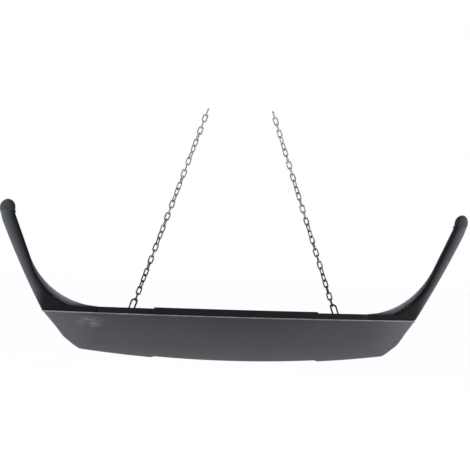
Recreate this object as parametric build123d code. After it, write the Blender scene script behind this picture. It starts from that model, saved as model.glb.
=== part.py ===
from build123d import *
from math import asin, cos, degrees, hypot, radians, sin, sqrt, tan
import os

# A wide wrap-around moulded body with two upswept horns, hung on two steel chains.
# Millimetres, +Z up, +X along the body's width, -Y towards its front face.
# The origin is halfway between the two points where the top links bear on outside hooks.
# "Depth" d is measured inwards from the body's front face, which is an arc seen from above.

# chain: short-link steel chain
LINKS = 31                  # links in each chain
WIRE = 4.0                  # link wire diameter
LINK_INNER_LENGTH = 19.2    # clear length inside a link
LINK_INNER_WIDTH = 8.0      # clear width inside a link
LINK_GAP = 0.3              # play between two links, or a link and a hook
EYE_GAP = 0.95              # play between a hook and its eye
CHAIN_ANGLE = 19.1          # degrees each chain leans outwards from vertical
CHAIN_TWIST = 360.0         # degrees that each chain is wound up, from its third link to its last

# D-shaped snap hook
HOOK_WIRE = 5.0
HOOK_LENGTH = 38.0          # between the wire centres at the two ends
HOOK_SPINE = 5.5            # load line to the spine's wire centre
HOOK_BOW = 9.5              # load line to the gate side's wire centre
HOOK_NOSE = 8.0             # half of the mouth that the gate closes
HOOK_BENDS = [4.0, 5.0, 5.4, 5.4, 5.0, 4.0]     # wire-centre radii from nose to foot
GATE_PLAY = 0.3             # gate to hook nose
TAB_RADIUS = 1.6            # rounded ear that the gate turns on
TAB_THICKNESS = 2.0
SLOT_END = 1.4              # gate's slot beyond the ear
RIVET_RADIUS = 0.9
RIVET_CLEARANCE = 0.05
RIVET_HEAD = 0.5            # height of each rivet head
RIVET_PROUD = 0.3           # rivet shank beyond the wire on each side

# eye bolts
EYE_HALF_SPAN = 295.0       # X of each eye
EYE_WIRE = 5.0
EYE_RING = 8.5              # ring's wire-centre radius
NECK_RADIUS = 4.0
COLLAR_RADIUS = 8.0
COLLAR_HEIGHT = 3.0
SHANK_RADIUS = 3.0
SHANK_END = 3.0             # shank beyond its nut
SHANK_CLEARANCE = 0.4       # shank to its holes
WASHER_RADIUS = 9.0
WASHER_THICKNESS = 1.6
NUT_ACROSS_FLATS = 10.0
NUT_HEIGHT = 5.0

# body
FACE_RADIUS = 1260.0        # front face seen from above
FRONT_Y = -67.3             # front face on the centre line
LEAN = 27.8                 # degrees the horns lean forwards
HULL_DEPTH = 54.0
WALL = 4.0                  # horn wall
SKIN_WALL = 5.2             # front skin wall
CREASE_HALF = 548.0         # half width at the crease under the horns
BOTTOM_HALF = 440.0         # half width where the bottom edge turns up
KNEE_X = 488.0              # foot of the slanted end
KNEE_Z = -67.0
PANEL_HEIGHT = 129.0        # crease to the lowest point
BOTTOM_RISE = 24.0          # how far the bottom edge rises at BOTTOM_HALF
FACE_BULGE = 6.0            # how far the grey face swells between its edges
CREASE_CHAMFER = 2.5
RECESS_HALF = 235.0         # raised and recessed middle stretch
RECESS_STEP = 3.5
COVER_THICKNESS = 3.0       # rear cover

# top rail
RAIL_HEIGHT = 17.0
RAIL_WALL = 9.2
RAIL_HALF = 392.0           # the rail ends here and the horns begin
HOOK_HIDDEN = 14.0          # length of hook that the rail hides
DECK_DROP = 16.0            # crease to deck
DECK_THICKNESS = 4.0
FIT = 0.3                   # clearance between mouldings

# horns
HORN_HEIGHT = 313.0
HORN_DEPTH = 20.0
LINER_THICKNESS = 4.0
CAP_HEIGHT = 32.0
CAP_PLUG = 10.0

# beam and brackets
BEAM_DEPTH = 25.0
BEAM_HEIGHT = 30.0
BEAM_WALL = 2.0
BEAM_HALF = 490.0
STRAP = 3.0
STRAP_WIDTH = 20.0
STRAP_TOP = 190.0           # how far the strap reaches up the horn
BOLT_RADIUS = 3.0
BOLT_CLEARANCE = 0.3
BOLT_HEAD = 4.0
BOLT_END = 0.5              # thread beyond the nut

# screws
SCREW_RADIUS = 2.0
SCREW_CLEARANCE = 0.05
SCREW_HEAD_RADIUS = 4.0
SCREW_HEAD = 2.4
HEAD_ROUND = 1.0            # rounding of the head's rim
SOCKET = 2.5                # across the flats of the hexagon socket
SOCKET_DEPTH = 1.4
SCREW_LENGTH = 22.0
SCREW_SPARE = 0.5           # hole beyond the screw's end
HEAD_SEAT = 0.02            # flat heads and nuts to the curved walls under them
BOSS_RADIUS = 5.0
BOSS_HOLE = 6.0             # screw hole in a horn's boss
CUT = 4.0                   # how far a hole's cutting tool runs past each face

# derived places along a chain, measured from the hang point
PITCH = LINK_INNER_LENGTH - LINK_GAP
LAST_CROWN = LINK_INNER_LENGTH + (LINKS - 1) * PITCH
HOOK_TOP = LAST_CROWN - LINK_GAP - HOOK_WIRE / 2
HOOK_BOTTOM = HOOK_TOP + HOOK_LENGTH
EYE_CROWN = HOOK_BOTTOM - HOOK_WIRE / 2 - EYE_GAP - EYE_WIRE / 2
HANG_HALF_SPAN = EYE_HALF_SPAN - EYE_CROWN * sin(radians(CHAIN_ANGLE))
EYE_Z = -EYE_CROWN * cos(radians(CHAIN_ANGLE)) - EYE_RING
CREASE_Z = -HOOK_BOTTOM * cos(radians(CHAIN_ANGLE)) - HOOK_WIRE / 2 + HOOK_HIDDEN - RAIL_HEIGHT
AXIS_Y = FRONT_Y + FACE_RADIUS
EYE_DEPTH = FACE_RADIUS - hypot(EYE_HALF_SPAN, AXIS_Y)
BEAM_FRONT = EYE_DEPTH - BEAM_DEPTH / 2
BEAM_TOP = -DECK_DROP - DECK_THICKNESS
STRAP_FRONT = BEAM_FRONT - STRAP
BOSS_TOP = STRAP_FRONT - FIT
LINER_BACK = HORN_DEPTH + LINER_THICKNESS
COVER_BACK = HULL_DEPTH + COVER_THICKNESS
GATE_PIVOT = -HOOK_NOSE + 2 * TAB_RADIUS

# fastener places on the body: X, height from the crease
COVER_SCREWS = [(side * x, z) for x, z in ((110, -98), (280, -95), (430, -82)) for side in (-1, 1)]
BEAM_SCREWS = [(side * x, BEAM_TOP - BEAM_HEIGHT / 2) for x in (150, 390) for side in (-1, 1)]
STRAP_BOLTS = [(CREASE_HALF - 86, BEAM_TOP - 0.73 * BEAM_HEIGHT),
               (CREASE_HALF - 81, BEAM_TOP - 0.3 * BEAM_HEIGHT)]
STRAP_LINE = [(CREASE_HALF - 88, BEAM_TOP - BEAM_HEIGHT - 1), (CREASE_HALF - 78, BEAM_TOP),
              (CREASE_HALF + 4, 50), (CREASE_HALF + 36, 100), (CREASE_HALF + 58, 150),
              (CREASE_HALF + 73, STRAP_TOP)]
LINER_SCREWS = [(CREASE_HALF + 8, 42), (CREASE_HALF + 40, 94), (CREASE_HALF + 68, 160)]

FAR = 900.0                 # larger than any outline
SIDES = (("left", -1), ("right", 1))
parts = {}


def add(name, shape):
    parts[name] = shape


def mirrored(shape, side):
    """Build for the right side and mirror it for the left."""
    return shape if side > 0 else mirror(shape, about=Plane.YZ)


# ---------------------------------------------------------------- shared shapes

def ring_section(front, back):
    """Flat ring between two depths, seen from above, front half only."""
    ring = Circle(FACE_RADIUS - front) - Circle(FACE_RADIUS - back)
    keep = Pos(0, -FACE_RADIUS / 2) * Rectangle(2 * FAR, FACE_RADIUS)
    return Pos(0, AXIS_Y) * (ring & keep)


def upright_band(front, back, low, high):
    """Upright curved wall between two depths and two heights above the crease."""
    return extrude(Pos(0, 0, CREASE_Z + low) * ring_section(front, back), high - low)


def leaning_band(front, back, high):
    """Curved wall that leans forwards as it rises from the crease."""
    lean = Vector(0, -tan(radians(LEAN)), 1).normalized()
    return extrude(Pos(0, 0, CREASE_Z) * ring_section(front, back), high / lean.Z, dir=lean)


def through(outline):
    """Front-view outline, heights from the crease, as a bar along Y."""
    return extrude(Plane.XZ * Pos(0, CREASE_Z) * outline, FAR, both=True)


def column(x0, x1, low=-FAR, high=FAR):
    """Front-view rectangle as a bar along Y."""
    return through(Pos((x0 + x1) / 2, (low + high) / 2) * Rectangle(x1 - x0, high - low))


def radial(x, depth, height):
    """Plane square to the front face at X = x, moved inwards, its normal pointing forwards."""
    angle = asin(x / FACE_RADIUS)
    r = FACE_RADIUS - depth
    normal = Vector(sin(angle), -cos(angle), 0)
    return Plane((r * sin(angle), AXIS_Y - r * cos(angle), CREASE_Z + height),
                 x_dir=(cos(angle), sin(angle), 0), z_dir=normal)


def leaning_place(x, depth, height):
    """The same for the leaning walls, square to their front face."""
    place = radial(x, 0, height)
    slope = tan(radians(LEAN))
    normal = Vector(place.z_dir.X, place.z_dir.Y, place.z_dir.Y * slope)
    start = place.origin - Vector(0, slope * height, 0)
    return Plane(start - normal * (depth / normal.length ** 2), x_dir=place.x_dir, z_dir=normal)


def chain_frame(side, distance):
    """Plane on a chain: x across it and outwards, z up the chain."""
    lean = radians(CHAIN_ANGLE)
    x = side * (HANG_HALF_SPAN + distance * sin(lean))
    return Plane((x, 0, -distance * cos(lean)),
                 x_dir=(side * cos(lean), 0, sin(lean)), z_dir=(-side * sin(lean), 0, cos(lean)))


# ---------------------------------------------------------------- outlines

def panel_outline(inset=0.0):
    """Grey lower face: slanted ends and a slowly rising bottom edge."""
    low = -PANEL_HEIGHT
    rise = -PANEL_HEIGHT + BOTTOM_RISE
    edge = [
        Line((-CREASE_HALF, 0), (CREASE_HALF, 0)),
        ThreePointArc((BOTTOM_HALF, rise), (0, low), (-BOTTOM_HALF, rise)),
    ]
    for _, side in SIDES:
        knee = (side * KNEE_X, KNEE_Z)
        slant = (side * (KNEE_X - CREASE_HALF), KNEE_Z)
        edge.append(Line((side * CREASE_HALF, 0), knee))
        edge.append(TangentArc(knee, (side * BOTTOM_HALF, rise), tangent=slant))
    face = make_face(edge)
    bottom_radius = (BOTTOM_HALF ** 2 + BOTTOM_RISE ** 2) / (2 * BOTTOM_RISE)
    centre_z = bottom_radius - PANEL_HEIGHT
    middle = Pos(0, -PANEL_HEIGHT) * Rectangle(2 * RECESS_HALF, 2 * BOTTOM_RISE)
    recess = middle - Pos(0, centre_z) * Circle(bottom_radius - RECESS_STEP)
    face = face - recess
    return offset(face, -inset, kind=Kind.TANGENT) if inset else face


def horn_outline(root_x, root_height, bend, top=HORN_HEIGHT):
    """Right horn in front view. The inner edge sweeps from the rail up to the tip."""
    foot = (CREASE_HALF, 0)
    shoulder = (CREASE_HALF + 122, HORN_HEIGHT - 58)
    inner_low = (CREASE_HALF + 38, 150)
    inner_high = (CREASE_HALF + 86, HORN_HEIGHT - 40)
    tip = (CREASE_HALF + 109, HORN_HEIGHT)
    edge = [
        ThreePointArc(foot, (CREASE_HALF + 86, 172), shoulder),
        Line(shoulder, (CREASE_HALF + 130, HORN_HEIGHT - 28)),
        ThreePointArc((CREASE_HALF + 130, HORN_HEIGHT - 28), (CREASE_HALF + 124, HORN_HEIGHT - 7), tip),
        ThreePointArc(tip, (CREASE_HALF + 91, HORN_HEIGHT - 9), inner_high),
        Line(inner_high, inner_low),
        ThreePointArc(inner_low, bend, (root_x, root_height)),
        Line((root_x, root_height), (RAIL_HALF, RAIL_HEIGHT)),
        Line((RAIL_HALF, RAIL_HEIGHT), (RAIL_HALF, 0)),
        Line((RAIL_HALF, 0), foot),
    ]
    face = make_face(edge)
    if top < HORN_HEIGHT:
        face = face & (Pos(0, top / 2) * Rectangle(2 * FAR, top))
    return face


def front_outline(top=HORN_HEIGHT):
    return horn_outline(CREASE_HALF - 75, RAIL_HEIGHT, (CREASE_HALF - 6, 66), top)


def liner_outline(top=HORN_HEIGHT):
    return horn_outline(CREASE_HALF - 128, RAIL_HEIGHT + 3, (CREASE_HALF - 26, 66), top)


def strap_outline():
    """Strap from the beam's end up the middle of the right horn."""
    return trace(Polyline(*STRAP_LINE), STRAP_WIDTH)


# ---------------------------------------------------------------- body mouldings

def face_section(front, back, low):
    """Swollen front face as a closed section, turned about the body's upright axis."""
    r = FACE_RADIUS
    top = CREASE_Z
    chamfer = CREASE_CHAMFER if front == 0 else 0
    edge = [
        Line((r - back, top), (r - front - chamfer, top)),
        Line((r - front - chamfer, top), (r - front, top - CREASE_CHAMFER)),
        ThreePointArc((r - front, top - CREASE_CHAMFER), (r - front + FACE_BULGE, top + low * 0.5),
                      (r - front - FACE_BULGE, top + low)),
        Line((r - front - FACE_BULGE, top + low), (r - back, top + low)),
        Line((r - back, top + low), (r - back, top)),
    ]
    turn = degrees(asin(min(0.99, FAR * 0.9 / FACE_RADIUS)))
    face = Plane.XZ * make_face(edge)
    solid = revolve(face, Axis.Z, 2 * turn)
    return Pos(0, AXIS_Y) * Rot(0, 0, -90 - turn) * solid


def front_skin():
    depth = -PANEL_HEIGHT - SKIN_WALL
    outside = face_section(0, HULL_DEPTH, depth) & through(panel_outline())
    open_top = Pos(0, -SKIN_WALL) * Rectangle(2 * (CREASE_HALF - 2 * SKIN_WALL), 4 * SKIN_WALL)
    hollow = face_section(SKIN_WALL, HULL_DEPTH + SKIN_WALL, depth)
    skin = outside - (hollow & through(panel_outline(SKIN_WALL) + open_top))
    for x, z in COVER_SCREWS:
        place = radial(x, HULL_DEPTH, z)
        skin = skin + (place * extrude(Circle(BOSS_RADIUS), HULL_DEPTH + FACE_BULGE) & outside)
        skin = skin - place * screw_hole(SCREW_LENGTH)
    return skin


def screw_hole(length):
    return extrude(Circle(SCREW_RADIUS + SCREW_CLEARANCE), length)


def rear_cover():
    cover = upright_band(HULL_DEPTH, COVER_BACK, -PANEL_HEIGHT, 0) & through(panel_outline(FIT))
    for x, z in COVER_SCREWS + BEAM_SCREWS:
        cover = cover - radial(x, COVER_BACK + CUT, z) * screw_hole(COVER_THICKNESS + 2 * CUT)
    return cover


def top_rail():
    half = RAIL_HALF - FIT / 2
    outline = (Pos(0, RAIL_HEIGHT / 2) * Rectangle(2 * half, RAIL_HEIGHT)
               + Pos(0, (RAIL_HEIGHT + RECESS_STEP) / 2)
               * Rectangle(2 * RECESS_HALF, RAIL_HEIGHT + RECESS_STEP))
    wall = leaning_band(0, RAIL_WALL, RAIL_HEIGHT + RECESS_STEP) & through(outline)
    floor = BEAM_TOP
    web = upright_band(SKIN_WALL + FIT, RAIL_WALL, floor, 2) & column(-half, half)
    deck = upright_band(SKIN_WALL + FIT, HULL_DEPTH - FIT, floor, -DECK_DROP) & column(-half, half)
    wings = upright_band(BEAM_FRONT + FIT, HULL_DEPTH - FIT, floor, -DECK_DROP)
    end_slope = (CREASE_HALF - KNEE_X) / -KNEE_Z
    reach = CREASE_HALF + floor * end_slope - 2 * SKIN_WALL
    rail = wall + web + deck + (wings & column(-reach, reach, floor - 1, 0))
    for _, side in SIDES:
        rail = rail - Pos(side * EYE_HALF_SPAN, 0, CREASE_Z + floor) * Cylinder(
            SHANK_RADIUS + SHANK_CLEARANCE, 3 * DECK_THICKNESS)
    return rail


def horn():
    top = HORN_HEIGHT - CAP_HEIGHT
    shell = leaning_band(0, HORN_DEPTH, top) & through(front_outline(top))
    inside = offset(front_outline(), -WALL, kind=Kind.TANGENT)
    foot_half = (CREASE_HALF - RAIL_HALF) / 2 - 1.5 * WALL
    foot = Pos(RAIL_HALF + foot_half + 1.5 * WALL, WALL / 2) * Rectangle(2 * foot_half, 3 * WALL)
    cavity = leaning_band(WALL, HORN_DEPTH + WALL, top + WALL)
    cavity = cavity & through(inside + foot)
    shell = shell - cavity
    for x, z in LINER_SCREWS:
        place = leaning_place(x, BOSS_TOP, z)
        shell = shell + place * extrude(Circle(BOSS_RADIUS), BOSS_TOP - WALL / 2)
        shell = shell - place * screw_hole(BOSS_HOLE)
    return shell & column(RAIL_HALF + FIT / 2, FAR)


def horn_liner():
    top = HORN_HEIGHT - CAP_HEIGHT
    liner = leaning_band(HORN_DEPTH, LINER_BACK, top) & through(liner_outline(top))
    for x, z in LINER_SCREWS:
        place = leaning_place(x, LINER_BACK + CUT, z)
        liner = liner - place * screw_hole(LINER_THICKNESS + 2 * CUT)
    return liner & column(RAIL_HALF + FIT / 2, FAR)


def horn_cap():
    low = HORN_HEIGHT - CAP_HEIGHT
    above = Pos(0, low + FAR / 2) * Rectangle(3 * FAR, FAR)
    cap = leaning_band(0, LINER_BACK, HORN_HEIGHT)
    cap = cap & through(front_outline() & above)
    plug_outline = offset(front_outline(), -WALL - FIT, kind=Kind.TANGENT)
    plug_band = Pos(0, low - CAP_PLUG / 2 + 1) * Rectangle(3 * FAR, CAP_PLUG + 2)
    plug = leaning_band(WALL + FIT, HORN_DEPTH - FIT, HORN_HEIGHT)
    return cap + (plug & through(plug_outline & plug_band))


# ---------------------------------------------------------------- frame inside the body

def bolt_hole(length):
    return extrude(Circle(BOLT_RADIUS + BOLT_CLEARANCE), length)


def beam():
    low = BEAM_TOP - BEAM_HEIGHT
    back = BEAM_FRONT + BEAM_DEPTH
    tube = upright_band(BEAM_FRONT, back, low, BEAM_TOP)
    tube = tube - upright_band(BEAM_FRONT + BEAM_WALL, back - BEAM_WALL,
                               low + BEAM_WALL, BEAM_TOP - BEAM_WALL)
    tube = tube & column(-BEAM_HALF, BEAM_HALF)
    for _, side in SIDES:
        tube = tube - Pos(side * EYE_HALF_SPAN, 0, CREASE_Z + BEAM_TOP - BEAM_HEIGHT / 2) * Cylinder(
            SHANK_RADIUS + SHANK_CLEARANCE, 2 * BEAM_HEIGHT)
        for x, z in STRAP_BOLTS:
            tube = tube - radial(side * x, back + CUT, z) * bolt_hole(BEAM_DEPTH + 2 * CUT)
    for x, z in BEAM_SCREWS:
        tube = tube - radial(x, back + CUT, z) * screw_hole(BEAM_WALL + 2 * CUT)
    return tube


def horn_strap():
    outline = strap_outline()
    foot = upright_band(STRAP_FRONT, BEAM_FRONT, BEAM_TOP - BEAM_HEIGHT, 0) & through(outline)
    arm = leaning_band(STRAP_FRONT, BEAM_FRONT, STRAP_TOP) & through(outline)
    strap = foot + arm
    for x, z in STRAP_BOLTS:
        strap = strap - radial(x, BEAM_FRONT + CUT, z) * bolt_hole(STRAP + 2 * CUT)
    for x, z in LINER_SCREWS:
        strap = strap - leaning_place(x, BEAM_FRONT + CUT, z) * screw_hole(STRAP + 2 * CUT)
    return strap


# ---------------------------------------------------------------- fasteners

def hexagon(across_flats):
    return RegularPolygon(across_flats / sqrt(3), 6)


def pan_screw(place, length):
    """Screw whose head sits behind the place's plane and whose shank runs forwards."""
    shank = extrude(Circle(SCREW_RADIUS), length)
    head = extrude(Circle(SCREW_HEAD_RADIUS), -SCREW_HEAD)
    head = fillet(head.edges().sort_by(Axis.Z)[:1], HEAD_ROUND)
    socket = Pos(0, 0, -SCREW_HEAD) * extrude(hexagon(SOCKET), SOCKET_DEPTH)
    return place * (shank + head - socket)


def group(solids):
    return Compound(children=[Solid(s.wrapped) for piece in solids for s in piece.solids()])


def cover_screws():
    back = COVER_BACK + HEAD_SEAT
    length = COVER_THICKNESS + SCREW_LENGTH - SCREW_SPARE
    return group([pan_screw(radial(x, back, z), length) for x, z in COVER_SCREWS])


def beam_screws():
    back = COVER_BACK + HEAD_SEAT
    length = back - BEAM_FRONT - BEAM_DEPTH + 2 * BEAM_WALL
    return group([pan_screw(radial(x, back, z), length) for x, z in BEAM_SCREWS])


def liner_screws():
    back = LINER_BACK + HEAD_SEAT
    length = (back - BOSS_TOP) * cos(radians(LEAN)) + BOSS_HOLE - SCREW_SPARE
    right = [pan_screw(leaning_place(x, back, z), length) for x, z in LINER_SCREWS]
    return group([mirrored(screw, side) for _, side in SIDES for screw in right])


def strap_bolts():
    length = BEAM_DEPTH + STRAP + NUT_HEIGHT + BOLT_END
    bolts = []
    for x, z in STRAP_BOLTS:
        bolt = extrude(Circle(BOLT_RADIUS), -length) + extrude(hexagon(NUT_ACROSS_FLATS), BOLT_HEAD)
        bolts.append(radial(x, STRAP_FRONT, z) * bolt)
    return group([mirrored(bolt, side) for _, side in SIDES for bolt in bolts])


def strap_nuts():
    back = BEAM_FRONT + BEAM_DEPTH + HEAD_SEAT
    nut = hexagon(NUT_ACROSS_FLATS) - Circle(BOLT_RADIUS + SCREW_CLEARANCE)
    nuts = [radial(x, back, z) * extrude(nut, -NUT_HEIGHT) for x, z in STRAP_BOLTS]
    return group([mirrored(piece, side) for _, side in SIDES for piece in nuts])


# ---------------------------------------------------------------- eyes

def eye_bolt(side):
    ring = Rot(0, 90, 0) * Torus(EYE_RING, EYE_WIRE / 2)
    collar_low = CREASE_Z - DECK_DROP - EYE_Z
    neck_top = -EYE_RING
    neck = Pos(0, 0, (collar_low + neck_top) / 2) * Cylinder(NECK_RADIUS, neck_top - collar_low)
    collar = Pos(0, 0, collar_low + COLLAR_HEIGHT / 2) * Cylinder(COLLAR_RADIUS, COLLAR_HEIGHT)
    tip = collar_low - DECK_THICKNESS - BEAM_HEIGHT - WASHER_THICKNESS - NUT_HEIGHT - SHANK_END
    shank = Pos(0, 0, (collar_low + tip) / 2) * Cylinder(SHANK_RADIUS, collar_low - tip)
    return Pos(side * EYE_HALF_SPAN, 0, EYE_Z) * (ring + neck + collar + shank)


def eye_washers():
    z = CREASE_Z + BEAM_TOP - BEAM_HEIGHT - WASHER_THICKNESS
    flat = extrude(Circle(WASHER_RADIUS) - Circle(SHANK_RADIUS + SHANK_CLEARANCE), WASHER_THICKNESS)
    return group([Pos(side * EYE_HALF_SPAN, 0, z) * flat for _, side in SIDES])


def eye_nuts():
    z = CREASE_Z + BEAM_TOP - BEAM_HEIGHT - WASHER_THICKNESS - NUT_HEIGHT
    nut = extrude(hexagon(NUT_ACROSS_FLATS) - Circle(SHANK_RADIUS + SCREW_CLEARANCE), NUT_HEIGHT)
    return group([Pos(side * EYE_HALF_SPAN, 0, z) * nut for _, side in SIDES])


# ---------------------------------------------------------------- chain and hooks

def chain_link():
    """Oval link in its own XZ plane, long way up."""
    bend = (LINK_INNER_WIDTH + WIRE) / 2
    straight = LINK_INNER_LENGTH - LINK_INNER_WIDTH
    path = Plane.XZ * SlotCenterToCenter(straight, 2 * bend, rotation=90).face().outer_wire()
    start = path.position_at(0)
    section = Plane(start, z_dir=path.tangent_at(0)) * Circle(WIRE / 2)
    return sweep(section, path)


def link_place(side, index):
    """Each link is a quarter turn from the last one, give or take its share of the twist."""
    twist = CHAIN_TWIST * max(index - 3, 0) / (LINKS - 3)
    turn = Rot(0, 0, 90 * (index % 2) + side * twist)
    centre = LINK_INNER_LENGTH / 2 + (index - 1) * PITCH
    return Location(chain_frame(side, centre)) * turn


def links(side, first, last):
    master = chain_link()
    return group([link_place(side, index) * master for index in range(first, last + 1)])


def hook_place(side):
    return Location(chain_frame(side, (HOOK_TOP + HOOK_BOTTOM) / 2))


def rivet_hole():
    hole = Cylinder(RIVET_RADIUS + RIVET_CLEARANCE, HOOK_WIRE + CUT)
    return Pos(HOOK_BOW, 0, GATE_PIVOT) * (Rot(90, 0, 0) * hole)


def hook(side):
    """D-shaped wire hook in its own XZ plane, bow and gate on the +X side."""
    half = HOOK_LENGTH / 2
    slope_x = 0.25 * HOOK_BOW
    slope_z = 0.62 * half
    path = FilletPolyline(
        (HOOK_BOW, 0, HOOK_NOSE), (HOOK_BOW, 0, slope_z), (slope_x, 0, half),
        (-HOOK_SPINE, 0, half), (-HOOK_SPINE, 0, -half), (slope_x, 0, -half),
        (HOOK_BOW, 0, -slope_z), (HOOK_BOW, 0, -HOOK_NOSE),
        radius=HOOK_BENDS)
    section = Plane((HOOK_BOW, 0, HOOK_NOSE), z_dir=(0, 0, 1)) * Circle(HOOK_WIRE / 2)
    wire = sweep(section, path)
    foot = -HOOK_NOSE - TAB_RADIUS / 2
    ear = Rot(90, 0, 0) * Cylinder(TAB_RADIUS, TAB_THICKNESS)
    web = Box(2 * TAB_RADIUS, TAB_THICKNESS, GATE_PIVOT - foot)
    tab = Pos(HOOK_BOW, 0, GATE_PIVOT) * ear + Pos(HOOK_BOW, 0, (GATE_PIVOT + foot) / 2) * web
    return hook_place(side) * (wire + tab - rivet_hole())


def hook_gate(side):
    low = GATE_PIVOT - TAB_RADIUS
    high = HOOK_NOSE - GATE_PLAY
    rod = Pos(HOOK_BOW, 0, (low + high) / 2) * Cylinder(HOOK_WIRE / 2, high - low)
    slot = Pos(HOOK_BOW, 0, GATE_PIVOT) * Box(
        HOOK_WIRE + CUT, TAB_THICKNESS + GATE_PLAY, 2 * (TAB_RADIUS + SLOT_END))
    return hook_place(side) * (rod - slot - rivet_hole())


def hook_rivet(side):
    half = HOOK_WIRE / 2 + RIVET_PROUD
    pin = Rot(90, 0, 0) * Cylinder(RIVET_RADIUS, 2 * half)
    for end in (-1, 1):
        pin = pin + Pos(0, end * half, 0) * (Rot(90, 0, 0) * Cylinder(TAB_RADIUS, RIVET_HEAD))
    return hook_place(side) * (Pos(HOOK_BOW, 0, GATE_PIVOT) * pin)


# ---------------------------------------------------------------- build

add("front_skin", front_skin())
add("rear_cover", rear_cover())
add("top_rail", top_rail())
add("beam", beam())
add("cover_screws", cover_screws())
add("beam_screws", beam_screws())
add("liner_screws", liner_screws())
add("strap_bolts", strap_bolts())
add("strap_nuts", strap_nuts())
add("eye_washers", eye_washers())
add("eye_nuts", eye_nuts())
horn_shapes = {"horn": horn(), "horn_liner": horn_liner(), "horn_cap": horn_cap(),
               "horn_strap": horn_strap()}
for word, side in SIDES:
    for name, shape in horn_shapes.items():
        add(f"{word}_{name}", mirrored(shape, side))
    add(f"{word}_eye_bolt", eye_bolt(side))
    add(f"{word}_top_link", links(side, 1, 1))
    add(f"{word}_second_link", links(side, 2, 2))
    add(f"{word}_chain", links(side, 3, LINKS - 1))
    add(f"{word}_last_link", links(side, LINKS, LINKS))
    add(f"{word}_hook", hook(side))
    add(f"{word}_hook_gate", hook_gate(side))
    add(f"{word}_hook_rivet", hook_rivet(side))

os.makedirs("parts", exist_ok=True)
for name, shape in parts.items():
    export_step(shape, f"parts/{name}.step")
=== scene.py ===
import bmesh
import bpy
from math import atan2, cos, pi, radians, sin, sqrt, tan
from mathutils import Matrix, Vector


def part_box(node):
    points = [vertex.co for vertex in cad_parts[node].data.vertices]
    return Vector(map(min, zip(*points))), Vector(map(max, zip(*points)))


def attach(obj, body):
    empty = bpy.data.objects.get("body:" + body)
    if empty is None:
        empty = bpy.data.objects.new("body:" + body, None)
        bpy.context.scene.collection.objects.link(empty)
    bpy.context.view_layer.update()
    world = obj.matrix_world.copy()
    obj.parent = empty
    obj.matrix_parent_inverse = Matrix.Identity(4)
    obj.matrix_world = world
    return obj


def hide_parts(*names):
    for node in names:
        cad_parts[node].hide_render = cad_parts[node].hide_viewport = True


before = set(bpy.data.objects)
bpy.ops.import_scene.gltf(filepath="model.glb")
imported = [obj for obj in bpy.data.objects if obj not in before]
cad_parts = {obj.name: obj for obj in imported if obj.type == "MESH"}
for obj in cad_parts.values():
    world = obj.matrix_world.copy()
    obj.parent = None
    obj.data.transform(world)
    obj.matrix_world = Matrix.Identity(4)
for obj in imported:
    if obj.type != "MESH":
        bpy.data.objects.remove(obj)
for spare in ("Cube", "Light", "Camera"):
    if spare in bpy.data.objects:
        bpy.data.objects.remove(bpy.data.objects[spare])
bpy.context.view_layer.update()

MM = 0.001
SAME_PLACE = 0.01 * MM      # points closer than this are one
SIDES = (("left", -1), ("right", 1))
BODY = "swing_body"

# body: sizes that the frame's boxes don't hold, in metres
FACE_RADIUS = 1260 * MM     # front face seen from above
LEAN = radians(27.8)        # the horns lean forwards
HULL_DEPTH = 54 * MM
SHELL_WALL = 3 * MM
FACE_BULGE = 6 * MM         # swell of the grey face between its edges
SWELL_SPARE = 4 * MM        # the swell's curve runs on this far below the lowest edge
CREASE_ROUND = 2.2 * MM     # edge radii of the grey face: under the rail, and along its lower rim
RIM_ROUND = 4.5 * MM
CREASE_LIP = 8 * MM         # top of the grey face, folded in under the rail
PANEL_HEIGHT = 129 * MM
BOTTOM_HALF = 440 * MM      # where the bottom edge turns up
BOTTOM_RISE = 24 * MM
RECESS_HALF = 235 * MM      # middle stretch whose edge steps up
RECESS_STEP = 3.5 * MM
RECESS_RAMP = (-3 * MM, 5 * MM)     # where the step begins and ends, about RECESS_HALF
KNEE = (488 * MM, -67 * MM)
RAIL_HEIGHT = 17 * MM
HORN_DEPTH = 20 * MM
LINER_THICKNESS = 4 * MM
CHAIN_LINKS = 31
WIRE = 4 * MM
LINK_HALF_WIDTH = 6 * MM    # wire centre of a link's straight side
WELD_PROUD = 0.35 * MM      # flash-weld bead beyond the wire, and half its length along the link
WELD_HALF_LENGTH = 1.7 * MM
CHAIN_TWIST = 360           # degrees that a chain is wound up, from its third link to its last

# rubbed patch of the grey face: distance left of the middle, and drop below the crease
SCUFF_OUT = 415 * MM
SCUFF_DROP = 28 * MM

# places read from the frame
SKIN_LOW, SKIN_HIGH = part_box("front_skin")
RAIL_LOW, RAIL_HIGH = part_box("top_rail")
HORN_LOW, HORN_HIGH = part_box("right_horn")
CAP_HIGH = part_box("right_horn_cap")[1]
CHAIN_LOW, CHAIN_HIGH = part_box("right_chain")
CREASE_Z = SKIN_HIGH.z
CREASE_HALF = SKIN_HIGH.x
FRONT_Y = RAIL_LOW.y + tan(LEAN) * (RAIL_HIGH.z - CREASE_Z)
AXIS_Y = FRONT_Y + FACE_RADIUS
HORN_TOP = HORN_HIGH.z - CREASE_Z
TIP_HEIGHT = CAP_HIGH.z - CREASE_Z
RAIL_HALF = HORN_LOW.x


# ------------------------------------------------------------------ shared tools

def linear(code):
    """sRGB hex colour as linear RGBA."""
    channels = [int(code[i:i + 2], 16) / 255 for i in (0, 2, 4)]
    return [c / 12.92 if c <= 0.04045 else ((c + 0.055) / 1.055) ** 2.4 for c in channels] + [1.0]


def add(tree, kind, inputs=None, **settings):
    """Add a node. An input is given a constant, or a socket that is linked to it."""
    made = tree.nodes.new(kind)
    for name, value in settings.items():
        setattr(made, name, value)
    for name, value in (inputs or {}).items():
        if isinstance(value, bpy.types.NodeSocket):
            tree.links.new(value, made.inputs[name])
        else:
            made.inputs[name].default_value = value
    return made


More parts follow.
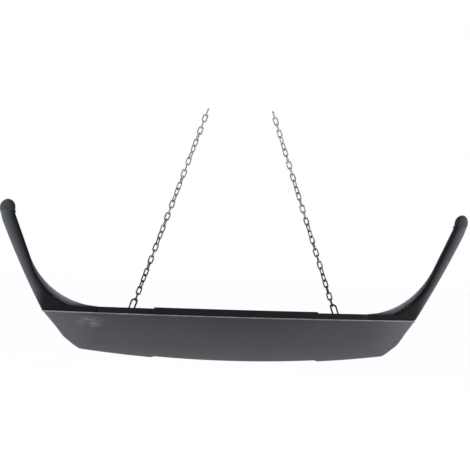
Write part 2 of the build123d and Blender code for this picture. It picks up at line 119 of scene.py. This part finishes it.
def per_mm(size):
    """Pattern scale for a feature of that many millimetres."""
    return 1 / (size * MM)


def begin(name, **sockets):
    """New material with one Principled shader and Object coordinates."""
    material = bpy.data.materials.new(name)
    material.use_nodes = True
    tree = material.node_tree
    tree.nodes.clear()
    values = {key.replace("_", " "): value for key, value in sockets.items()}
    shader = add(tree, "ShaderNodeBsdfPrincipled", values)
    add(tree, "ShaderNodeOutputMaterial", {"Surface": shader.outputs["BSDF"]})
    place = add(tree, "ShaderNodeTexCoord").outputs["Object"]
    return material, tree, shader, place


def dress(tree, shader, tone, rough, relief, strength, distance):
    """Link a colour mix and a roughness to the shader, and a bump from the relief."""
    tree.links.new(tone.outputs[2], shader.inputs["Base Color"])
    tree.links.new(rough.outputs[0], shader.inputs["Roughness"])
    bump = add(tree, "ShaderNodeBump", {"Height": relief, "Strength": strength,
                                        "Distance": distance})
    tree.links.new(bump.outputs["Normal"], shader.inputs["Normal"])


def on_face(x, height, depth):
    """Point of the body from its front view: across, above the crease and in from the front face."""
    lean = max(height, 0) * tan(LEAN)
    return Vector((x, AXIS_Y - sqrt((FACE_RADIUS - depth) ** 2 - x * x) - lean, CREASE_Z + height))


def arc(a, b, c, steps):
    """Points on the circle through a, b and c, from a to c."""
    ax, ay, bx, by, cx, cy = *a, *b, *c
    d = 2 * (ax * (by - cy) + bx * (cy - ay) + cx * (ay - by))
    sa, sb, sc = ax * ax + ay * ay, bx * bx + by * by, cx * cx + cy * cy
    ux = (sa * (by - cy) + sb * (cy - ay) + sc * (ay - by)) / d
    uy = (sa * (cx - bx) + sb * (ax - cx) + sc * (bx - ax)) / d
    start = atan2(ay - uy, ax - ux)
    turn = (atan2(cy - uy, cx - ux) - start + pi) % (2 * pi) - pi
    radius = sqrt((ax - ux) ** 2 + (ay - uy) ** 2)
    return [(ux + radius * cos(start + turn * i / steps), uy + radius * sin(start + turn * i / steps))
            for i in range(steps + 1)]


def tangent_arc(a, heading, c, steps):
    """Points on the circle that leaves a in that direction and ends at c."""
    gap = (c[0] - a[0], c[1] - a[1])
    size = sqrt(heading[0] ** 2 + heading[1] ** 2)
    normal = (-heading[1] / size, heading[0] / size)
    reach = (gap[0] ** 2 + gap[1] ** 2) / (2 * (normal[0] * gap[0] + normal[1] * gap[1]))
    centre = (a[0] + normal[0] * reach, a[1] + normal[1] * reach)
    start = atan2(a[1] - centre[1], a[0] - centre[0])
    turn = (atan2(c[1] - centre[1], c[0] - centre[0]) - start + pi) % (2 * pi) - pi
    return [(centre[0] + abs(reach) * cos(start + turn * i / steps),
             centre[1] + abs(reach) * sin(start + turn * i / steps)) for i in range(steps + 1)]


def along(points, share):
    """Point at that share of a line's length."""
    lengths = [sqrt((q[0] - p[0]) ** 2 + (q[1] - p[1]) ** 2) for p, q in zip(points, points[1:])]
    left = share * sum(lengths)
    for p, q, length in zip(points, points[1:], lengths):
        if left <= length:
            t = left / length if length else 0
            return p[0] + (q[0] - p[0]) * t, p[1] + (q[1] - p[1]) * t
        left -= length
    return points[-1]


def without_side(node_name):
    return node_name.removeprefix("left_").removeprefix("right_")


def smoothstep(value, low, high):
    t = min(1, max(0, (value - low) / (high - low)))
    return t * t * (3 - 2 * t)


def make(name, bm, material, body, replaced=(), sharp=35):
    """Close up a bmesh as a piece that rides on a body."""
    bmesh.ops.remove_doubles(bm, verts=bm.verts, dist=SAME_PLACE)
    bmesh.ops.recalc_face_normals(bm, faces=bm.faces)
    mesh = bpy.data.meshes.new(name)
    bm.to_mesh(mesh)
    bm.free()
    mesh.polygons.foreach_set("use_smooth", [True] * len(mesh.polygons))
    mesh.set_sharp_from_angle(angle=radians(sharp))
    mesh.materials.append(material)
    made = bpy.data.objects.new(name, mesh)
    bpy.context.scene.collection.objects.link(made)
    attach(made, body)
    if replaced:
        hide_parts(*replaced)
    return made


# ------------------------------------------------------------------ materials

def graphite_skin():
    """Moulded ABS with a fine spark-eroded texture: a soft wide sheen with no sharp reflections."""
    material, tree, shader, place = begin("graphite_abs_textured_moulding", IOR=1.53,
                                          Specular_IOR_Level=0.42)
    flow = add(tree, "ShaderNodeTexNoise", {"Vector": place, "Scale": per_mm(240), "Detail": 3.0})
    tone = add(tree, "ShaderNodeMix", {0: flow.outputs["Fac"], 6: linear("3d3c42"),
                                       7: linear("49484d")}, data_type="RGBA")
    grain = add(tree, "ShaderNodeTexNoise", {"Vector": place, "Scale": per_mm(1.6), "Detail": 4.0})
    fleck = add(tree, "ShaderNodeMapRange", {"Value": grain.outputs["Fac"], "From Min": 0.35,
                                             "From Max": 0.65, "To Min": 0.92, "To Max": 1.08})
    base = add(tree, "ShaderNodeMix", {0: 1.0, 6: tone.outputs[2], 7: fleck.outputs[0]},
               data_type="RGBA", blend_type="MULTIPLY")
    # A rubbed patch near the left end, torn by a streaky noise.
    flatten = (1, 0, 2.2)
    patch = add(tree, "ShaderNodeMapping", {"Vector": place, "Scale": flatten, "Location": (
        SCUFF_OUT, 0, -flatten[2] * (CREASE_Z - SCUFF_DROP))})
    spot = add(tree, "ShaderNodeVectorMath", {0: patch.outputs[0]}, operation="LENGTH")
    reach = add(tree, "ShaderNodeMapRange", {"Value": spot.outputs["Value"], "From Min": 46 * MM,
                                             "From Max": 14 * MM})
    streak_place = add(tree, "ShaderNodeMapping", {"Vector": place, "Scale": (1, 1, 4)})
    streak = add(tree, "ShaderNodeTexNoise", {"Vector": streak_place.outputs[0],
                                              "Scale": per_mm(34), "Detail": 5.0})
    torn = add(tree, "ShaderNodeMapRange", {"Value": streak.outputs["Fac"], "From Min": 0.42,
                                            "From Max": 0.56})
    rubbed = add(tree, "ShaderNodeMath", {0: reach.outputs[0], 1: torn.outputs[0]},
                 operation="MULTIPLY")
    scuffed = add(tree, "ShaderNodeMix", {0: rubbed.outputs[0], 6: base.outputs[2],
                                          7: linear("6e6d70")}, data_type="RGBA")
    # Sparse dark marks where the texture is worn through.
    cells = add(tree, "ShaderNodeTexVoronoi", {"Vector": place, "Scale": per_mm(95)})
    mark = add(tree, "ShaderNodeMapRange", {"Value": cells.outputs["Distance"], "From Min": 0.03,
                                            "From Max": 0.055, "To Min": 0.55, "To Max": 0.0})
    marked = add(tree, "ShaderNodeMix", {0: mark.outputs[0], 6: scuffed.outputs[2],
                                         7: linear("232327")}, data_type="RGBA")
    # Painted highlight: a light band along the top edge under the rail, broken up by the streaks,
    # standing in for the light that the edge catches.
    height = add(tree, "ShaderNodeSeparateXYZ", {0: place})
    edge = add(tree, "ShaderNodeMapRange", {"Value": height.outputs["Z"],
                                            "From Min": CREASE_Z - 3.6 * MM,
                                            "From Max": CREASE_Z - 1.6 * MM})
    bright = add(tree, "ShaderNodeMath", {0: edge.outputs[0], 1: streak.outputs["Fac"]},
                 operation="MULTIPLY")
    # Painted reflection: the two ends and the lower edge are lightened, standing in for the bright
    # surroundings reflected where the face turns away.
    out = add(tree, "ShaderNodeMath", {0: height.outputs["X"]}, operation="ABSOLUTE")
    end = add(tree, "ShaderNodeMapRange", {"Value": out.outputs[0], "From Min": CREASE_HALF * 0.72,
                                           "From Max": CREASE_HALF, "To Max": 0.8})
    low = add(tree, "ShaderNodeMapRange", {"Value": height.outputs["Z"], "From Min": SKIN_LOW.z,
                                           "From Max": SKIN_LOW.z + PANEL_HEIGHT * 0.3,
                                           "To Min": 0.35, "To Max": 0.0})
    painted_reflection_mask = add(tree, "ShaderNodeMath", {0: end.outputs[0], 1: low.outputs[0]}, operation="MAXIMUM")
    with_painted_reflection = add(tree, "ShaderNodeMix", {0: painted_reflection_mask.outputs[0], 6: marked.outputs[2],
                                          7: linear("606064")}, data_type="RGBA")
    # Mix in the painted highlight along the top edge.
    with_painted_highlight = add(tree, "ShaderNodeMix", {0: bright.outputs[0], 6: with_painted_reflection.outputs[2],
                                        7: linear("c9c9cd")}, data_type="RGBA")
    rough = add(tree, "ShaderNodeMapRange", {"Value": flow.outputs["Fac"], "To Min": 0.36,
                                             "To Max": 0.5})
    dress(tree, shader, with_painted_highlight, rough, grain.outputs["Fac"], 0.35, 0.12 * MM)
    return material


def black_moulding():
    """Black ABS from a polished tool: deep blue-black with a smooth, slightly wavy gloss."""
    material, tree, shader, place = begin("black_abs_polished_moulding", IOR=1.53,
                                          Specular_IOR_Level=0.14)
    flow = add(tree, "ShaderNodeTexNoise", {"Vector": place, "Scale": per_mm(130), "Detail": 2.0})
    tone = add(tree, "ShaderNodeMix", {0: flow.outputs["Fac"], 6: linear("020306"),
                                       7: linear("07090e")}, data_type="RGBA")
    haze = add(tree, "ShaderNodeTexNoise", {"Vector": place, "Scale": per_mm(9), "Detail": 6.0,
                                            "Roughness": 0.7})
    rough = add(tree, "ShaderNodeMapRange", {"Value": haze.outputs["Fac"], "From Min": 0.3,
                                             "From Max": 0.75, "To Min": 0.27, "To Max": 0.46})
    wave = add(tree, "ShaderNodeTexNoise", {"Vector": place, "Scale": per_mm(45), "Detail": 1.0})
    dress(tree, shader, tone, rough, wave.outputs["Fac"], 0.25, 0.8 * MM)
    return material


def horn_moulding():
    """Black ABS, satin: painted light makes it grey along the outside, painted shade makes it deep
    black in the corner.
    """
    material, tree, shader, place = begin("charcoal_abs_satin_moulding", IOR=1.53,
                                          Specular_IOR_Level=0.1)
    flow = add(tree, "ShaderNodeTexNoise", {"Vector": place, "Scale": per_mm(60), "Detail": 5.0})
    # Painted light and shade: the attribute runs from 0 at the inner edge to 1 at the outer edge, so
    # the inner corner is painted dark and the outside painted light grey.
    painted_light = add(tree, "ShaderNodeAttribute", attribute_name="painted_light")
    uneven = add(tree, "ShaderNodeMath", {0: flow.outputs["Fac"], 1: 0.24, 2: -0.12},
                 operation="MULTIPLY_ADD")
    share = add(tree, "ShaderNodeMath", {0: painted_light.outputs["Fac"], 1: uneven.outputs[0]},
                operation="ADD")
    painted_light_share = add(tree, "ShaderNodeMapRange", {"Value": share.outputs[0], "From Min": 0.05,
                                            "From Max": 1.0}, interpolation_type="SMOOTHSTEP")
    tone = add(tree, "ShaderNodeMix", {0: painted_light_share.outputs[0], 6: linear("06070a"),
                                       7: linear("494c51")}, data_type="RGBA")
    grain = add(tree, "ShaderNodeTexNoise", {"Vector": place, "Scale": per_mm(1.4), "Detail": 4.0})
    rough = add(tree, "ShaderNodeMapRange", {"Value": grain.outputs["Fac"], "From Min": 0.3,
                                             "From Max": 0.7, "To Min": 0.36, "To Max": 0.5})
    dress(tree, shader, tone, rough, grain.outputs["Fac"], 0.3, 0.1 * MM)
    return material


def liner_moulding():
    """Grey polypropylene, matt moulded, with a dusty mottle; its pale tone beside the black is painted
    light, standing in for the light on the horn's inner wall.
    """
    material, tree, shader, place = begin("grey_pp_matt_moulding", IOR=1.49,
                                          Specular_IOR_Level=0.35)
    dust = add(tree, "ShaderNodeTexNoise", {"Vector": place, "Scale": per_mm(28), "Detail": 6.0})
    # Pale base colour: painted light on the inner wall of the horn.
    tone = add(tree, "ShaderNodeMix", {0: dust.outputs["Fac"], 6: linear("86878c"),
                                       7: linear("a2a3a7")}, data_type="RGBA")
    grain = add(tree, "ShaderNodeTexNoise", {"Vector": place, "Scale": per_mm(1.2), "Detail": 3.0})
    rough = add(tree, "ShaderNodeMapRange", {"Value": dust.outputs["Fac"], "To Min": 0.5,
                                             "To Max": 0.68})
    dress(tree, shader, tone, rough, grain.outputs["Fac"], 0.4, 0.12 * MM)
    return material


def cover_moulding():
    """Black polypropylene with a leather-grain texture, as on panels that face away."""
    material, tree, shader, place = begin("black_pp_leather_grain", IOR=1.49,
                                          Specular_IOR_Level=0.4)
    pores = add(tree, "ShaderNodeTexVoronoi", {"Vector": place, "Scale": per_mm(3.2)},
                feature="SMOOTH_F1")
    cloud = add(tree, "ShaderNodeTexNoise", {"Vector": place, "Scale": per_mm(150), "Detail": 4.0})
    tone = add(tree, "ShaderNodeMix", {0: cloud.outputs["Fac"], 6: linear("1f2023"),
                                       7: linear("303134")}, data_type="RGBA")
    rough = add(tree, "ShaderNodeMapRange", {"Value": pores.outputs["Distance"], "To Min": 0.62,
                                             "To Max": 0.45})
    dress(tree, shader, tone, rough, pores.outputs["Distance"], 0.5, 0.25 * MM)
    return material


def cap_rubber():
    """Black thermoplastic rubber, matt moulded: a soft grey bloom, with painted light making it paler
    towards the outer edge and painted shade darker towards the inner edge.
    """
    material, tree, shader, place = begin("black_rubber_matt_moulding", IOR=1.52,
                                          Specular_IOR_Level=0.15)
    bloom = add(tree, "ShaderNodeTexNoise", {"Vector": place, "Scale": per_mm(12), "Detail": 5.0})
    # Painted light and shade across the cap: the attribute is 0 at the inner edge and 1 at the outer,
    # so the bloom is painted paler towards the outside.
    painted_light = add(tree, "ShaderNodeAttribute", attribute_name="painted_light")
    share = add(tree, "ShaderNodeMath", {0: painted_light.outputs["Fac"], 1: bloom.outputs["Fac"]},
                operation="MULTIPLY")
    tone = add(tree, "ShaderNodeMix", {0: share.outputs[0], 6: linear("1c1e22"),
                                       7: linear("505358")}, data_type="RGBA")
    rough = add(tree, "ShaderNodeMapRange", {"Value": bloom.outputs["Fac"], "To Min": 0.6,
                                             "To Max": 0.8})
    pits = add(tree, "ShaderNodeTexNoise", {"Vector": place, "Scale": per_mm(2), "Detail": 3.0})
    dress(tree, shader, tone, rough, pits.outputs["Fac"], 0.5, 0.2 * MM)
    return material


def beam_steel():
    """Powder-coated steel tube: black with the fine orange-peel of a baked coat."""
    material, tree, shader, place = begin("steel_tube_powder_coated", IOR=1.5,
                                          Specular_IOR_Level=0.5)
    peel = add(tree, "ShaderNodeTexNoise", {"Vector": place, "Scale": per_mm(1.5), "Detail": 2.0})
    cloud = add(tree, "ShaderNodeTexNoise", {"Vector": place, "Scale": per_mm(60), "Detail": 3.0})
    tone = add(tree, "ShaderNodeMix", {0: cloud.outputs["Fac"], 6: linear("17181a"),
                                       7: linear("26272a")}, data_type="RGBA")
    rough = add(tree, "ShaderNodeMapRange", {"Value": cloud.outputs["Fac"], "To Min": 0.35,
                                             "To Max": 0.5})
    dress(tree, shader, tone, rough, peel.outputs["Fac"], 0.35, 0.15 * MM)
    return material


def plated_steel(name, bright, dull, rough_low, rough_high, tarnish, cleaner_upwards=0.0):
    """Plated steel: a metal whose colour and gloss break up where the plating has dulled.
    With cleaner_upwards it dulls less towards a chain's top, out of reach of hands."""
    material, tree, shader, place = begin(name, Metallic=1.0)
    bloom = add(tree, "ShaderNodeTexNoise", {"Vector": place, "Scale": per_mm(7), "Detail": 6.0,
                                             "Roughness": 0.65})
    height = add(tree, "ShaderNodeSeparateXYZ", {0: place})
    climb = add(tree, "ShaderNodeMapRange", {"Value": height.outputs["Z"], "From Min": CHAIN_LOW.z,
                                             "From Max": CHAIN_HIGH.z, "To Min": -cleaner_upwards,
                                             "To Max": cleaner_upwards})
    clean = add(tree, "ShaderNodeMath", {0: bloom.outputs["Fac"], 1: climb.outputs[0]},
                operation="ADD")
    share = add(tree, "ShaderNodeMapRange", {"Value": clean.outputs[0],
                                             "From Min": tarnish - 0.12,
                                             "From Max": tarnish + 0.12})
    tone = add(tree, "ShaderNodeMix", {0: share.outputs[0], 6: linear(dull), 7: linear(bright)},
               data_type="RGBA")
    rough = add(tree, "ShaderNodeMapRange", {"Value": share.outputs[0], "To Min": rough_high,
                                             "To Max": rough_low})
    pits = add(tree, "ShaderNodeTexNoise", {"Vector": place, "Scale": per_mm(0.9), "Detail": 3.0})
    dress(tree, shader, tone, rough, pits.outputs["Fac"], 0.3, 0.06 * MM)
    return material


def painted_board():
    """Floor: matt pale board."""
    material, tree, shader, place = begin("pale_board_matt_painted", Roughness=0.9,
                                          Specular_IOR_Level=0.1)
    cloud = add(tree, "ShaderNodeTexNoise", {"Vector": place, "Scale": per_mm(900)})
    tone = add(tree, "ShaderNodeMix", {0: cloud.outputs["Fac"], 6: linear("f1f1f1"),
                                       7: linear("f5f5f5")}, data_type="RGBA")
    tree.links.new(tone.outputs[2], shader.inputs["Base Color"])
    return material


GRAPHITE = graphite_skin()
BLACK = black_moulding()
CHARCOAL = horn_moulding()
LINER = liner_moulding()
COVER = cover_moulding()
RUBBER = cap_rubber()
POWDER = beam_steel()
FASTENER = plated_steel("steel_zinc_plated", "b9bcc2", "85878c", 0.28, 0.5, 0.45)
CHAIN = plated_steel("steel_wire_zinc_dulled", "a8aab0", "3b3c40", 0.34, 0.6, 0.5, 0.14)
HOOK = plated_steel("steel_forged_black_nickel", "34353a", "16171a", 0.3, 0.55, 0.5)
GATE = plated_steel("steel_turned_black_nickel", "4a4b50", "26272b", 0.24, 0.45, 0.42)

FINISH = {"front_skin": GRAPHITE, "top_rail": BLACK, "rear_cover": COVER, "beam": POWDER,
          "cover_screws": FASTENER, "beam_screws": FASTENER, "liner_screws": FASTENER,
          "strap_bolts": FASTENER, "strap_nuts": FASTENER, "eye_washers": FASTENER,
          "eye_nuts": FASTENER, "horn": CHARCOAL, "horn_liner": LINER, "horn_cap": RUBBER,
          "horn_strap": POWDER, "eye_bolt": HOOK, "top_link": CHAIN, "second_link": CHAIN,
          "chain": CHAIN, "last_link": CHAIN, "hook": HOOK, "hook_gate": GATE,
          "hook_rivet": GATE}
for node_name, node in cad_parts.items():
    node.data.materials.clear()
    node.data.materials.append(FINISH[without_side(node_name)])


# ------------------------------------------------------------------ front skin

def skin_edge(u):
    """Lower edge of the grey face in front view, from the middle (0) to the knee (1)."""
    turn = 0.87
    if u <= turn:
        x = BOTTOM_HALF * u / turn
        ramp = smoothstep(x - RECESS_HALF, *RECESS_RAMP)
        step = RECESS_STEP * (1 - ramp)
        return x, -PANEL_HEIGHT + BOTTOM_RISE * (x / BOTTOM_HALF) ** 2 + step
    slant = (KNEE[0] - CREASE_HALF, KNEE[1])
    corner = tangent_arc(KNEE, slant, (BOTTOM_HALF, -PANEL_HEIGHT + BOTTOM_RISE), 24)
    return along(corner, (1 - u) / (1 - turn))


def swell(height):
    """How far the grey face stands out of the body's cylinder at that height."""
    share = -height / (PANEL_HEIGHT + SWELL_SPARE)
    return FACE_BULGE * (5 * share - 6 * share * share)


def front_skin():
    bm = bmesh.new()
    columns, rows = 110, 12
    bmesh.ops.create_grid(bm, x_segments=columns, y_segments=rows, size=1)
    flat = {}
    for v in bm.verts:
        u, t = v.co.x, (v.co.y + 1) / 2
        x, low = skin_edge(abs(u))
        x = (x + (CREASE_HALF * abs(u) - x) * t) * (1 if u >= 0 else -1)
        height = low * (1 - t)
        flat[v] = (x, height)
        v.co = on_face(x, height, -swell(height))
    border = [e for e in bm.edges if e.is_boundary]
    crease = [e for e in border if all(flat[v][1] > -SAME_PLACE for v in e.verts)]
    rim = [e for e in border if e not in crease]
    walls = bmesh.ops.extrude_edge_only(bm, edges=rim)
    for v in [g for g in walls["geom"] if isinstance(g, bmesh.types.BMVert)]:
        v.co = on_face(v.co.x, v.co.z - CREASE_Z, HULL_DEPTH)
    lip = bmesh.ops.extrude_edge_only(bm, edges=crease)
    for v in [g for g in lip["geom"] if isinstance(g, bmesh.types.BMVert)]:
        v.co.y += CREASE_LIP
    settings = {"affect": "EDGES", "profile": 0.5, "material": -1}
    bmesh.ops.bevel(bm, geom=crease, offset=CREASE_ROUND, segments=3, **settings)
    rim = [e for e in rim if e.is_valid]
    bmesh.ops.bevel(bm, geom=rim, offset=RIM_ROUND, segments=4, **settings)
    made = make("front_skin_shell", bm, GRAPHITE, BODY, ["front_skin"], 60)
    wall = made.modifiers.new("wall", "SOLIDIFY")
    wall.thickness = SHELL_WALL
    wall.offset = -1
    return made


# ------------------------------------------------------------------ horns and caps

def outer_edge():
    foot, shoulder = (CREASE_HALF, 0), (CREASE_HALF + 122 * MM, TIP_HEIGHT - 58 * MM)
    sweep = arc(foot, (CREASE_HALF + 86 * MM, 172 * MM), shoulder, 30)
    return [(RAIL_HALF, 0)] + sweep + [(CREASE_HALF + 129 * MM, HORN_TOP)]


def inner_edge():
    bend_end = (CREASE_HALF + 38 * MM, 150 * MM)
    sweep = arc((CREASE_HALF - 75 * MM, RAIL_HEIGHT), (CREASE_HALF - 6 * MM, 66 * MM), bend_end, 24)
    straight = (CREASE_HALF + 86 * MM, TIP_HEIGHT - 40 * MM)
    return [(RAIL_HALF, RAIL_HEIGHT)] + sweep + [straight, (CREASE_HALF + 87 * MM, HORN_TOP)]


def loft(stations, side, painted_light_from=0.0, painted_light_to=0.0):
    """Skin rounded sections. Each has its two edge points, front and back depths and squareness.
    A float attribute of painted light and shade grows from the inner edge to the outer one, and along
    the given shares: shade in the inner corner, light along the outside."""
    bm = bmesh.new()
    painted_light = bm.verts.layers.float.new("painted_light")
    last = []
    ends = []
    for number, (inner, outer, front, back, square) in enumerate(stations):
        grown = smoothstep(number / (len(stations) - 1), painted_light_from, painted_light_to) if painted_light_to else 1.0
        ring = bmesh.ops.create_circle(bm, segments=36, radius=1)["verts"]
        edges = list({e for v in ring for e in v.link_edges})
        for v in ring:
            power = square if v.co.y < 0 else max(square, 5)
            grow = (abs(v.co.x) ** power + abs(v.co.y) ** power) ** (-1 / power)
            across, inwards = (v.co.x * grow + 1) / 2, (v.co.y * grow + 1) / 2
            x = inner[0] + (outer[0] - inner[0]) * across
            height = inner[1] + (outer[1] - inner[1]) * across
            place = on_face(x, height, front + (back - front) * inwards)
            v.co = Vector((place.x * side, place.y, place.z))
            v[painted_light] = across * grown
        if last:
            bmesh.ops.bridge_loops(bm, edges=last + edges)
        ends = ends or edges
        last = edges
    bmesh.ops.contextual_create(bm, geom=ends)
    bmesh.ops.contextual_create(bm, geom=last)
    return bm


def horn(word, side):
    count = 56
    stations = []
    for i in range(count + 1):
        share = i / count
        square = 6 - 3.4 * smoothstep(share, 0.22, 0.5)
        stations.append((along(inner_edge(), share), along(outer_edge(), share), 0, HORN_DEPTH,
                         square))
    return make(f"{word}_horn_shell", loft(stations, side, 0.3, 0.5), CHARCOAL, BODY,
                [f"{word}_horn"], 50)


def horn_cap(word, side):
    """Rubber end cap: a proud lip, then a blunt round end that leans a little inwards."""
    tip = (CREASE_HALF + 109 * MM, TIP_HEIGHT)
    outer = [(CREASE_HALF + 129.5 * MM, HORN_TOP - 1 * MM), (CREASE_HALF + 130 * MM, HORN_TOP + 4 * MM)]
    outer += arc(outer[-1], (CREASE_HALF + 123 * MM, TIP_HEIGHT - 7 * MM), tip, 12)[1:]
    inner = [(CREASE_HALF + 86.4 * MM, HORN_TOP - 1 * MM), (CREASE_HALF + 86 * MM, HORN_TOP + 8 * MM)]
    inner += arc(inner[-1], (CREASE_HALF + 92 * MM, TIP_HEIGHT - 7 * MM), tip, 12)[1:]
    stations = []
    count = 16
    back = HORN_DEPTH + LINER_THICKNESS
    for i in range(count + 1):
        share = sin(pi / 2 * i / count) * 0.995
        fall = 1 - sqrt(1 - max(0, share - 0.35) ** 2 / 0.65 ** 2)
        shrink = fall * back / 2
        stations.append((along(inner, share), along(outer, share), shrink - 0.6 * MM,
                         back + 0.3 * MM - shrink, 2.8))
    return make(f"{word}_cap_shell", loft(stations, side), RUBBER, BODY,
                [f"{word}_horn_cap"], 60)


# ------------------------------------------------------------------ chain details

def middle(node_name):
    low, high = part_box(node_name)
    return (low + high) / 2


def link_welds(word, body, numbers):
    """Flash-weld swelling on one straight side of each link."""
    first, last = middle(f"{word}_top_link"), middle(f"{word}_last_link")
    down = (last - first) / (CHAIN_LINKS - 1)
    run = down.normalized()
    side = 1 if first.x > 0 else -1
    square = Vector((0, side, 0))
    level = run.cross(square)
    bm = bmesh.new()
    for number in numbers:
        twist = CHAIN_TWIST * max(number - 3, 0) / (CHAIN_LINKS - 3)
        angle = radians(90 * (number % 2) + side * twist)
        across = (level * cos(angle) + square * sin(angle)) * (1 if number % 4 < 2 else -1)
        centre = first + down * (number - 1) + across * LINK_HALF_WIDTH
        turn = run.to_track_quat("Z", "Y").to_matrix().to_4x4()
        radius = WIRE / 2 + WELD_PROUD
        size = Matrix.Diagonal((radius, radius, WELD_HALF_LENGTH, 1))
        bmesh.ops.create_icosphere(bm, subdivisions=2, radius=1,
                                   matrix=Matrix.Translation(centre) @ turn @ size)
    name = f"{word}_top_weld" if body == "hang_links" else f"{body}_welds"
    return make(name, bm, CHAIN, body)


front_skin()
for word, side in SIDES:
    horn(word, side)
    horn_cap(word, side)
    link_welds(word, "hang_links", [1])
    link_welds(word, f"{word}_second_link", [2])
    link_welds(word, f"{word}_chain", range(3, CHAIN_LINKS + 1))

# Small edge radii, which catch a thin line of light.
EDGE_RADII = {"top_rail": 1.2 * MM, "beam": 1.0 * MM, "horn_strap": 0.5 * MM}
for node_name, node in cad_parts.items():
    plain = without_side(node_name)
    if plain in EDGE_RADII:
        weld = node.modifiers.new("weld", "WELD")
        weld.merge_threshold = SAME_PLACE
        edge = node.modifiers.new("edge", "BEVEL")
        edge.width = EDGE_RADII[plain]
        edge.segments = 2
        edge.limit_method = "ANGLE"
        edge.angle_limit = radians(40)


# ------------------------------------------------------------------ stage, light and camera

FLOOR_RADIUS = 60
FLOOR_DROP = 0.35           # below the grey face
STRIP_OUT = 2.6             # side lights, from the middle

def stage():
    bm = bmesh.new()
    bmesh.ops.create_circle(bm, cap_ends=True, segments=64, radius=FLOOR_RADIUS)
    mesh = bpy.data.meshes.new("floor")
    bm.to_mesh(mesh)
    bm.free()
    floor = bpy.data.objects.new("floor", mesh)
    floor.location.z = SKIN_LOW.z - FLOOR_DROP
    mesh.materials.append(painted_board())
    bpy.context.scene.collection.objects.link(floor)


def area_light(name, place, aim, width, height, power):
    light = bpy.data.lights.new(name, "AREA")
    light.shape = "RECTANGLE"
    light.size, light.size_y = width, height
    light.energy = power
    made = bpy.data.objects.new(name, light)
    made.location = place
    made.rotation_euler = (Vector(aim) - Vector(place)).to_track_quat("-Z", "Y").to_euler()
    bpy.context.scene.collection.objects.link(made)


def lights():
    world = bpy.data.worlds.new("studio")
    bpy.context.scene.world = world
    world.use_nodes = True
    tree = world.node_tree
    tree.nodes.clear()
    ray = add(tree, "ShaderNodeLightPath")
    shown = add(tree, "ShaderNodeMix", {0: ray.outputs["Is Camera Ray"], 6: linear("aeb0b3"),
                                        7: linear("ffffff")}, data_type="RGBA")
    back = add(tree, "ShaderNodeBackground", {"Color": shown.outputs[2], "Strength": 1.0})
    add(tree, "ShaderNodeOutputWorld", {"Surface": back.outputs[0]})
    sun = bpy.data.lights.new("overhead", "SUN")
    sun.energy = 2.2
    sun.angle = radians(70)
    made = bpy.data.objects.new("overhead", sun)
    made.rotation_euler = (radians(-12), 0, 0)
    bpy.context.scene.collection.objects.link(made)
    for word, side in SIDES:
        area_light(f"{word}_strip", (side * STRIP_OUT, 0.2, CREASE_Z + 0.2), (0, 0, CREASE_Z),
                   width=0.8, height=2.2, power=40)


def camera():
    azimuth, elevation, roll = radians(-7.41), radians(-1.03), radians(1.85)
    distance = 5.0
    data = bpy.data.cameras.new("camera")
    data.sensor_width = 36
    data.lens = 133.1
    made = bpy.data.objects.new("camera", data)
    back = Vector((sin(azimuth) * cos(elevation), -cos(azimuth) * cos(elevation), sin(elevation)))
    right = Vector((cos(azimuth), sin(azimuth), 0))
    up = back.cross(right)
    aim = Vector((-0.005, 0, -0.359))
    side = right * cos(roll) + up * sin(roll)
    top = up * cos(roll) - right * sin(roll)
    turn = Matrix((side, top, back)).transposed().to_4x4()
    made.matrix_world = Matrix.Translation(aim + back * distance) @ turn
    bpy.context.scene.collection.objects.link(made)
    bpy.context.scene.camera = made


stage()
lights()
camera()
bpy.context.scene.view_settings.view_transform = "Standard"
